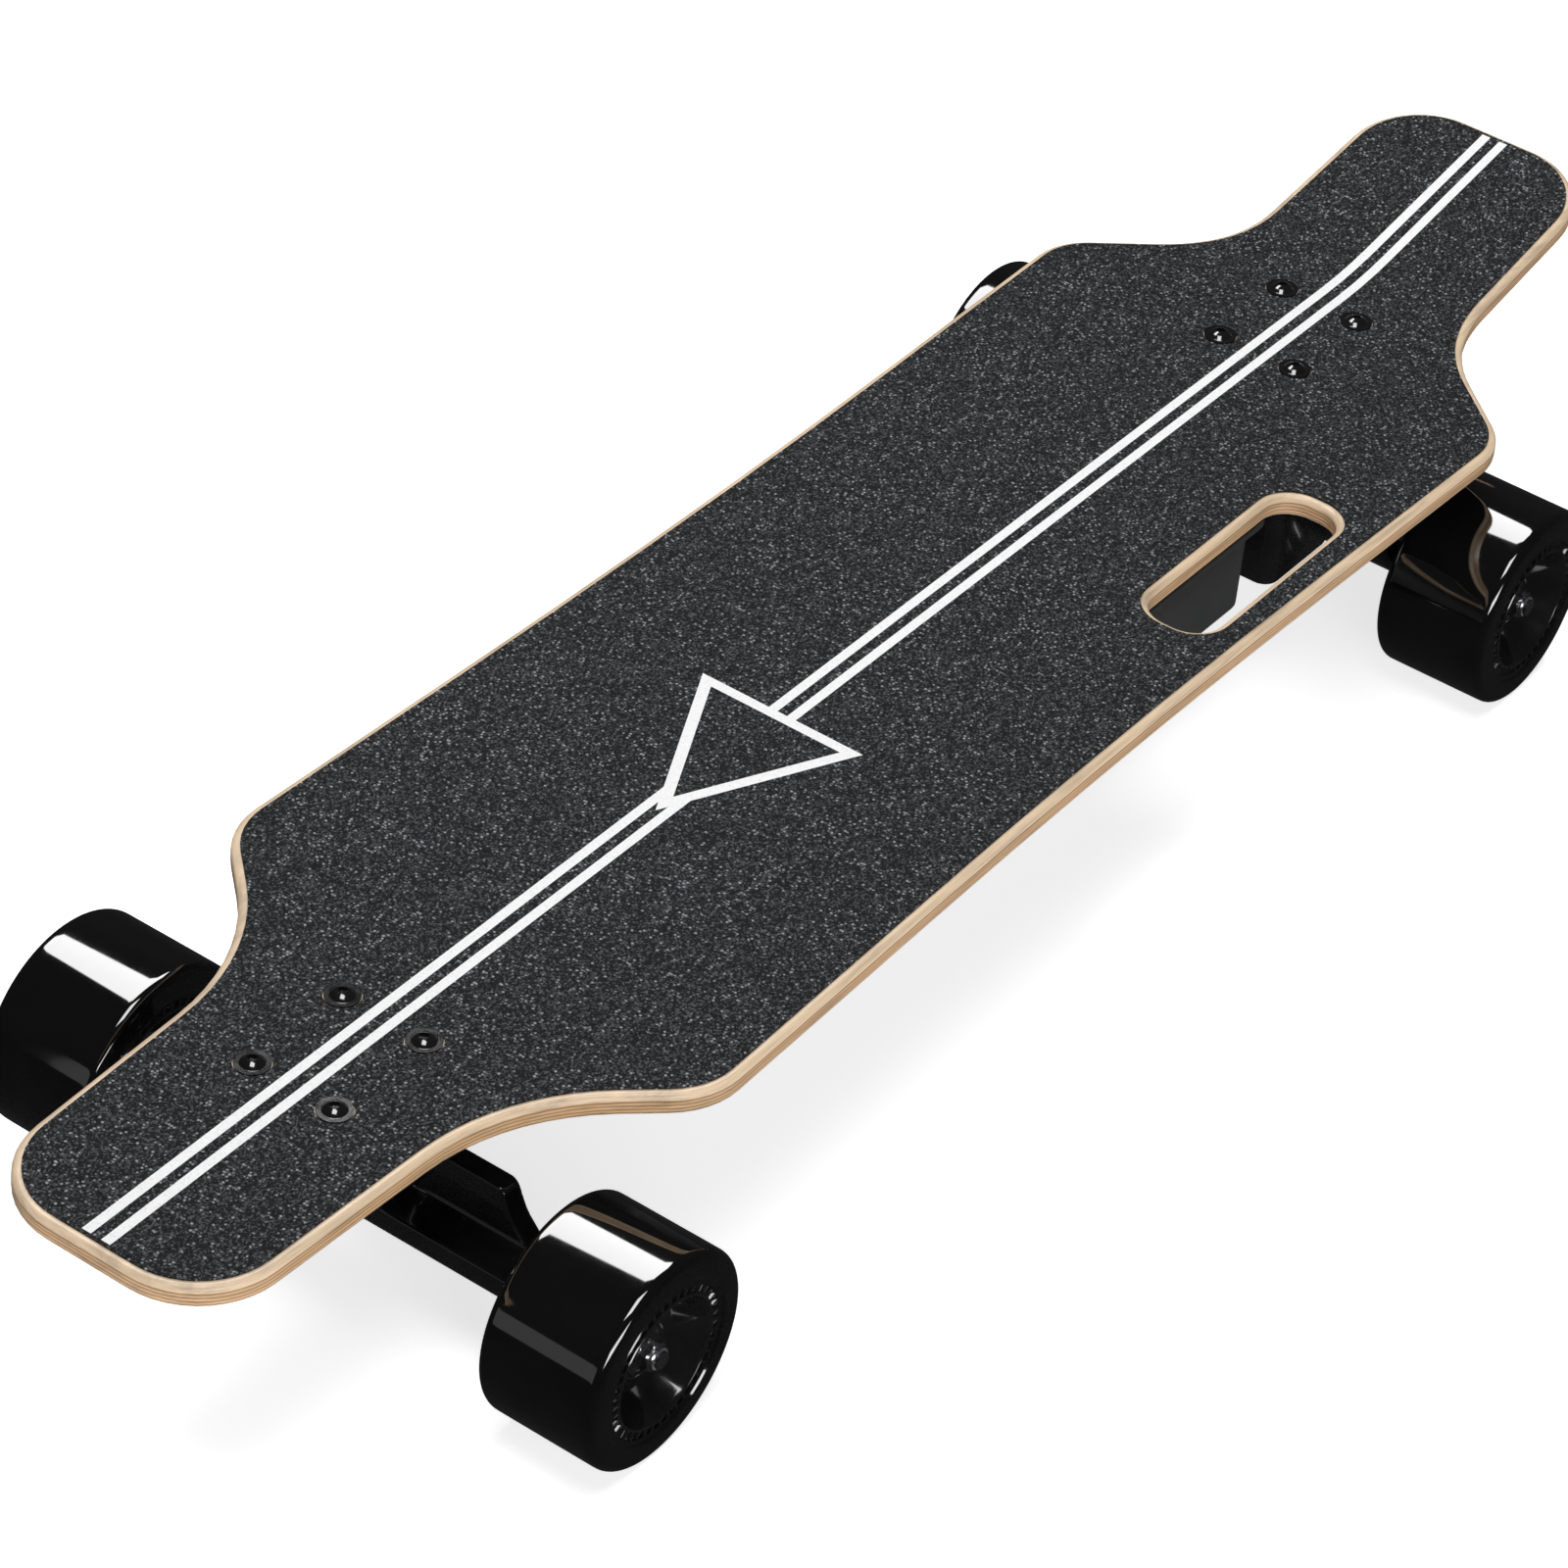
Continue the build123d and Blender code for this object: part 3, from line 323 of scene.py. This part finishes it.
grip_dark = (0.0044, 0.0046, 0.0050)
looks = {
    # The pale grey here is the colour of the painted glints on the grain tops.
    "grip": grit("grip_grit", grip_dark, (0.40, 0.41, 0.43), 0.32),
    "graphic": white_print(),
    "maple": maple(),
    "tread": gloss_black("gloss_urethane", 0.0022, 0.05, 0.08, 0.006, coat=1.0, specular=1.0),
    "core": gloss_black("gloss_core", 0.006, 0.07, 0.13, 0.02, coat=0.8, specular=0.8),
    "black_metal": gloss_black("gloss_powder_coat", 0.005, 0.10, 0.2, 0.10, coat=0.9, specular=0.8),
    "black_steel": gloss_black("black_oxide", 0.006, 0.08, 0.16, 0.05, coat=1.0, specular=1.0),
    "steel": metal("zinc_steel", (0.78, 0.78, 0.80), 0.22, (1.0, 0.05, 1.0), 900.0),
    "bearing": turned_metal("bearing_steel", (0.66, 0.67, 0.68), 0.16),
    "aluminium": metal("machined_aluminium", (0.70, 0.71, 0.73), 0.3, (0.05, 1.0, 1.0), 700.0),
    "magnet": metal("nickel_plate", (0.5, 0.49, 0.46), 0.25, None, 300.0),
    "stator": windings(),
    "riser": moulded("riser_rubber", (0.014, 0.014, 0.015), 0.7, 1400.0),
    "urethane": moulded("bushing_urethane", (0.022, 0.022, 0.024), 0.38, 700.0, 0.03),
    "tray": moulded("tray_plastic", (0.042, 0.043, 0.044), 0.34, 1600.0, 0.05),
    "gasket": moulded("gasket_rubber", (0.015, 0.015, 0.015), 0.75, 1200.0),
    "port": moulded("port_nylon", (0.016, 0.016, 0.017), 0.42, 1500.0),
    "button": moulded("button_plastic", (0.50, 0.035, 0.025), 0.3, 1700.0, 0.03),
    "battery": shrink_wrap(),
    "board": circuit_board(),
}
seal_look = moulded("bearing_seal", (0.010, 0.010, 0.011), 0.35, 2200.0, 0.02)
cover_look = gloss_black("gloss_cover", 0.006, 0.08, 0.16, 0.04, coat=0.8, specular=0.7)
nylon_look = moulded("nylon_insert", (0.22, 0.22, 0.23), 0.4, 1600.0, 0.02)

for name, node in frame["nodes"].items():
    node.data.materials.clear()
    node.data.materials.append(looks[node_slot[name]])


# ---- Mesh helpers ---------------------------------------------------------------------------

def stand_in(piece, node):
    """The piece stands for a CAD node: it rides on the node's body, and the node is hidden."""
    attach(piece, node_body[node])
    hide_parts(node)
    return piece


def to_object(name, mesh, materials, sharp=38):
    """Object of a finished bmesh, shaded smooth up to the sharp angle."""
    data = bpy.data.meshes.new(name)
    bmesh.ops.recalc_face_normals(mesh, faces=mesh.faces)
    mesh.to_mesh(data)
    mesh.free()
    for material in materials:
        data.materials.append(material)
    data.shade_smooth()
    data.set_sharp_from_angle(angle=math.radians(sharp))
    piece = bpy.data.objects.new(name, data)
    bpy.context.scene.collection.objects.link(piece)
    return piece


def rounded(corners, steps=5):
    """Profile with each corner (radius, height, fillet, ...) turned into an arc."""
    line = []
    for index, corner in enumerate(corners):
        here, fillet, extra = Vector(corner[:2]), corner[2], corner[3:]
        if not fillet:
            line.append((here.x, here.y, *extra))
            continue
        before = (Vector(corners[index - 1][:2]) - here).normalized()
        after = (Vector(corners[(index + 1) % len(corners)][:2]) - here).normalized()
        half = before.angle(after) / 2
        centre = here + (before + after).normalized() * fillet / math.sin(half)
        start = here + before * fillet / math.tan(half) - centre
        sweep = start.angle_signed(here + after * fillet / math.tan(half) - centre)
        for step in range(steps + 1):
            turn = Matrix.Rotation(-sweep * step / steps, 2)
            point = centre + turn @ start
            line.append((point.x, point.y, *extra))
    return line


def lathe(mesh, profile, centre, segments, shape=None, face_look=None):
    """Closed ring about the Y axis through centre, from a profile of (radius, height, ...)."""
    rings = []
    for k in range(segments):
        angle = 2 * math.pi * k / segments
        ring = []
        for point in profile:
            radius, height = shape(point, angle, k) if shape else point[:2]
            place = Vector((radius * math.cos(angle), height, radius * math.sin(angle))) * MM
            ring.append(mesh.verts.new(centre + place))
        rings.append(ring)
    count = len(profile)
    for k in range(segments):
        here, there = rings[k], rings[(k + 1) % segments]
        for i in range(count):
            j = (i + 1) % count
            face = mesh.faces.new((here[i], here[j], there[j], there[i]))
            if face_look:
                face.material_index = face_look(profile[i], profile[j])


def middle(node):
    low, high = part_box(node)
    return (low + high) / 2


def softened(node, voxel, rounds):
    """A CAD casting with its edges and inside corners rounded, as poured metal has them."""
    source = bmesh.new()
    source.from_mesh(frame["nodes"][node].data)
    bmesh.ops.remove_doubles(source, verts=source.verts, dist=0.002 * MM)
    piece = to_object(node + "_casting", source, [looks[node_slot[node]]])
    skin = piece.modifiers.new("skin", "REMESH")
    skin.mode = "VOXEL"
    skin.voxel_size = voxel * MM
    skin.use_smooth_shade = True
    soften = piece.modifiers.new("soften", "SMOOTH")
    soften.factor = 0.5
    soften.iterations = rounds
    graph = bpy.context.evaluated_depsgraph_get()
    data = bpy.data.meshes.new_from_object(piece.evaluated_get(graph))
    piece.modifiers.clear()
    piece.data = data
    data.shade_smooth()
    return stand_in(piece, node)


# ---- Trucks ---------------------------------------------------------------------------------

casting_voxel = 0.9
casting_rounds = 5

for end in ("front", "rear"):
    for part in ("_hanger", "_baseplate"):
        softened(end + part, casting_voxel, casting_rounds)


# ---- Wheels ---------------------------------------------------------------------------------

rim_pockets = 40
cell_steps = 12
core_segments = rim_pockets * cell_steps
hub_pockets = 10
hub_cell = core_segments // hub_pockets


def tyre_profile(bore):
    """Tight shoulders, a flat tread and a stepped inner lip, the same on both sides."""
    face = wheel_half_width
    half = [
        (wheel_radius, 0.0, 0), (wheel_radius, face - 6, 0),
        (wheel_radius - 0.1, face - 0.1, tyre_shoulder), (bore + 3.2, face, 0.6),
        (bore + 2.2, face - 1.0, 0.5),
        (bore, face - 1.0, 0),
    ]
    other = [(r, -y, f) for r, y, f in reversed(half[1:])]
    return rounded(half + other, 12)


def make_tyre(node, bore):
    mesh = bmesh.new()
    lathe(mesh, tyre_profile(bore), middle(node), 224)
    stand_in(to_object(node + "_moulding", mesh, [looks["tread"]], 50), node)


def core_profile():
    """Notched outer ring, deep bowl, pocketed floor and hub.

    The fourth value names a row of pockets, or the bright clip round the bearing.
    """
    face = wheel_half_width
    floor = face - bowl_depth
    near = face - hub_depth
    seat = bearing_radius + 0.02
    half = [
        (core_radius, face - 1.2, 0.3, ""), (core_radius - 0.7, face - 0.6, 0, ""),
        (core_radius - 0.75, face - 0.6, 0, "rim"), (bowl_radius + 1.35, face - 0.6, 0, "rim"),
        (bowl_radius + 1.3, face - 0.6, 0, ""), (bowl_radius + 0.9, face - 0.1, 0.3, ""),
        (bowl_radius, face - 0.1, 0.4, ""), (bowl_radius - 0.8, face - 2.2, 0.8, ""),
        (22.6, floor + 1.2, 2.6, ""), (20.2, floor, 0.8, ""), (20.0, floor, 0, "hub"),
        (15.6, floor, 0, "hub"), (15.4, floor, 0, ""), (14.6, floor, 0.5, ""),
        (hub_radius + 0.6, near - 0.6, 0.5, ""), (hub_radius, near, 0.4, "clip"),
        (seat + 0.9, near, 0.2, "clip"), (seat + 0.7, near - 0.5, 0.2, ""),
        (seat, near - 0.5, 0.2, ""), (seat, near - bearing_width, 0, ""),
        (hub_bore_radius, near - bearing_width, 0, ""),
    ]
    other = [(r, -y, f, row) for r, y, f, row in reversed(half)]
    return rounded(half + other, 4)


pocket_depth = {"rim": 1.2, "hub": 1.2}


def pocketed(point, angle, k):
    """Sinks the rows of pockets into the core's faces."""
    radius, height, row = point
    if row == "rim":
        inside = 2 <= k % cell_steps <= cell_steps - 3
    elif row == "hub":
        inside = 6 <= k % hub_cell <= hub_cell - 7
    else:
        return radius, height
    sink = pocket_depth[row] if inside else 0.0
    return radius, height - math.copysign(sink, height)


def make_core(node):
    mesh = bmesh.new()
    lathe(mesh, core_profile(), middle(node), core_segments, pocketed,
          lambda first, second: int(first[2] == second[2] == "clip"))
    stand_in(to_object(node + "_moulding", mesh, [looks["core"], looks["bearing"]], 32), node)


def bearing_profile(side, outer, inner):
    """Ball bearing seen from outside: chamfered rings and a dished rubber seal."""
    near = wheel_half_width - hub_depth
    far = near - bearing_width
    half = [
        (outer, far, 0, 0), (outer, near - 0.4, 0, 0), (outer - 0.4, near, 0, 0),
        (outer - 1.7, near, 0, 0), (outer - 1.8, near - 0.35, 0, 1),
        (outer - 2.6, near - 0.35, 0, 1), (outer - 2.8, near - 0.6, 0, 1),
        (outer - 3.6, near - 0.6, 0, 1), (outer - 3.8, near - 0.3, 0, 1), (inner, near - 0.3, 0, 0),
        (inner, far, 0, 0),
    ]
    return rounded([(r, side * y, f, look) for r, y, f, look in half])


def make_bearings(node):
    mesh = bmesh.new()
    for side in (-1, 1):
        lathe(mesh, bearing_profile(side, bearing_radius, race_radius), middle(node), 96,
              face_look=lambda first, second: first[2] and second[2])
    stand_in(to_object(node + "_rings", mesh, [looks["bearing"], seal_look], 30), node)


def hex_radius(angle, across):
    sector = math.pi / 3
    return across / 2 / math.cos((angle + sector / 2) % sector - sector / 2)


def make_nuts(end):
    """Hexagon lock nuts with chamfered corners and a nylon collar, one on each axle end."""
    node = end + "_axle_nuts"
    low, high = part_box(node)
    mesh = bmesh.new()
    corner = hex_radius(math.pi / 6, nut_across_flats)
    flat = nut_across_flats / 2
    bore = axle_radius + 0.05
    outline = [
        (bore, 0), (flat * 0.97, 0), (corner, 0.9), (corner, 4.1), (flat * 0.98, 4.9), (5.6, 4.95),
        (5.6, 5.9), (5.2, 6.4), (4.75, nut_height), (4.7, 6.1), (bore, 6.1),
    ]
    for side, start in ((1, high.y / MM - nut_height), (-1, low.y / MM + nut_height)):
        centre = Vector(((low.x + high.x) / 2, start * MM, (low.z + high.z) / 2))
        profile = [(r, side * y, r > flat) for r, y in outline]

        def shape(point, angle, _):
            radius, height, corners = point
            return min(radius, hex_radius(angle, nut_across_flats)) if corners else radius, height

        lathe(mesh, profile, centre, 96, shape,
              lambda first, second: int(max(first[0], second[0]) < 4.8 and abs(first[1]) > 5))
    stand_in(to_object(node + "_hex", mesh, [looks["steel"], nylon_look], 25), node)


for name in ("front_left", "front_right", "rear_left"):
    make_tyre(name + "_tyre", core_radius + 0.02)
    make_core(name + "_core")
    make_bearings(name + "_bearings")
make_tyre("motor_tyre", 40.02)
make_bearings("motor_bearings")
for end in ("front", "rear"):
    make_nuts(end)


# ---- Tray and cable cover -------------------------------------------------------------------

def rounded_plan(low, high, inset, radius, steps=6):
    """Points of a rounded rectangle, in metres: the box pulled in by inset millimetres."""
    points = []
    corner_x, corner_y = high.x - (inset + radius) * MM, high.y - (inset + radius) * MM
    other_x, other_y = low.x + (inset + radius) * MM, low.y + (inset + radius) * MM
    corners = ((corner_x, corner_y), (other_x, corner_y), (other_x, other_y), (corner_x, other_y))
    for quarter, (x, y) in enumerate(corners):
        for step in range(steps + 1):
            angle = math.pi / 2 * (quarter + step / steps)
            points.append((x + radius * MM * math.cos(angle), y + radius * MM * math.sin(angle)))
    return points


def make_tub(node, wall, look):
    """Open-topped moulding with a flange and a crisp bottom edge."""
    low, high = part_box(node)
    mesh = bmesh.new()
    turn = [math.pi / 2 * step / 6 for step in range(7)]
    outside = [
        (flange_width + tub_edge * (1 - math.sin(a)), tub_edge * (1 - math.cos(a))) for a in turn
    ]
    depth = (high.z - low.z) / MM
    rim = [(flange_width, depth - flange_thickness), (0.0, depth - flange_thickness), (0.0, depth)]
    inside = [(flange_width + wall, depth), (flange_width + wall, wall)]
    rings = []
    for inset, height in outside + rim + inside:
        radius = max(tub_corner - 0.5 * inset, 1.0)
        rings.append([mesh.verts.new((x, y, low.z + height * MM))
                      for x, y in rounded_plan(low, high, inset, radius)])
    for here, there in zip(rings, rings[1:]):
        for k in range(len(here)):
            j = (k + 1) % len(here)
            mesh.faces.new((here[k], here[j], there[j], there[k]))
    mesh.faces.new(rings[0])
    mesh.faces.new(rings[-1])
    bmesh.ops.remove_doubles(mesh, verts=mesh.verts, dist=0.001 * MM)
    stand_in(to_object(node + "_moulding", mesh, [look], 25), node)


make_tub("tray", tray_wall, looks["tray"])
make_tub("cable_cover", cover_wall, cover_look)


# ---- Stage ----------------------------------------------------------------------------------

def make_floor():
    """Pale studio floor, lit from above and kept out of the gloss finishes' reflections."""
    bpy.ops.mesh.primitive_plane_add(size=30, location=(0, 0, 0))
    floor = bpy.context.object
    floor.name = "studio_floor"
    s = Shader("pale_floor", Roughness=0.9, Specular_IOR_Level=0.1)
    s.set("Base Color", s.ramp(s.noise(2.0), (0.3, 0.90), (0.7, 0.93)))
    s.surface.inputs["Emission Color"].default_value = (1, 1, 1, 1)
    s.surface.inputs["Emission Strength"].default_value = 0.75
    floor.data.materials.append(s.material)
    floor.visible_glossy = False


def softbox(name, place, aim, size, power, spread=180.0):
    lamp = bpy.data.lights.new(name, "AREA")
    lamp.shape = "RECTANGLE"
    lamp.size, lamp.size_y = size
    lamp.energy = power
    lamp.spread = math.radians(spread)
    holder = bpy.data.objects.new(name, lamp)
    holder.location = place
    holder.rotation_mode = "QUATERNION"
    holder.rotation_quaternion = (Vector(aim) - Vector(place)).to_track_quat("-Z", "Y")
    bpy.context.scene.collection.objects.link(holder)
    return holder


room_low = (0.018, 0.018, 0.019, 1)
room_high = (0.028, 0.028, 0.03, 1)


def make_sky():
    """White backdrop to look at; a dim room, slightly brighter above, for reflections."""
    world = bpy.data.worlds.new("studio")
    bpy.context.scene.world = world
    world.use_nodes = True
    tree = world.node_tree
    tree.nodes.clear()
    seen, room = tree.nodes.new("ShaderNodeBackground"), tree.nodes.new("ShaderNodeBackground")
    seen.inputs[0].default_value = (1, 1, 1, 1)
    place = tree.nodes.new("ShaderNodeTexCoord")
    split = tree.nodes.new("ShaderNodeSeparateXYZ")
    ramp = tree.nodes.new("ShaderNodeValToRGB")
    tree.links.new(place.outputs["Generated"], split.inputs[0])
    tree.links.new(split.outputs[2], ramp.inputs[0])
    ramp.color_ramp.elements[0].color = room_low
    ramp.color_ramp.elements[0].position = 0.0
    ramp.color_ramp.elements[1].color = room_high
    ramp.color_ramp.elements[1].position = 0.35
    tree.links.new(ramp.outputs[0], room.inputs[0])
    path = tree.nodes.new("ShaderNodeLightPath")
    mix = tree.nodes.new("ShaderNodeMixShader")
    out = tree.nodes.new("ShaderNodeOutputWorld")
    tree.links.new(path.outputs["Is Camera Ray"], mix.inputs[0])
    tree.links.new(room.outputs[0], mix.inputs[1])
    tree.links.new(seen.outputs[0], mix.inputs[2])
    tree.links.new(mix.outputs[0], out.inputs[0])


make_floor()
make_sky()
softbox("key", (-0.60, -0.95, 2.0), (0.0, 0.0, 0.1), (1.9, 0.8), 34)
softbox("overhead", (0.9, 0.4, 3.0), (0.1, 0.0, 0.0), (1.4, 1.4), 38)
softbox("side_fill", (1.6, 2.8, 0.9), (0.0, 0.0, 0.1), (2.2, 0.9), 38)
softbox("nose_panel", (2.9, -0.9, 0.35), (0.2, 0.1, 0.1), (1.2, 0.7), 0.7)


# ---- Camera ---------------------------------------------------------------------------------

def make_camera():
    """Long lens from the left of the nose, above, with a slight roll."""
    data = bpy.data.cameras.new("camera")
    data.sensor_width = 36
    data.lens = 129.63
    data.clip_start, data.clip_end = 0.05, 60
    camera = bpy.data.objects.new("camera", data)
    right = Vector((-0.59181836, 0.80218657, 0.07904261)).normalized()
    look = Vector((-0.66248009, -0.42818656, -0.61463518)).normalized()
    up = right.cross(look).normalized()
    camera.matrix_world = Matrix((
        (right.x, up.x, -look.x, 1.6649), (right.y, up.y, -look.y, 1.0307),
        (right.z, up.z, -look.z, 1.5643), (0, 0, 0, 1)))
    bpy.context.scene.collection.objects.link(camera)
    bpy.context.scene.camera = camera


make_camera()
bpy.context.scene.view_settings.view_transform = "Standard"
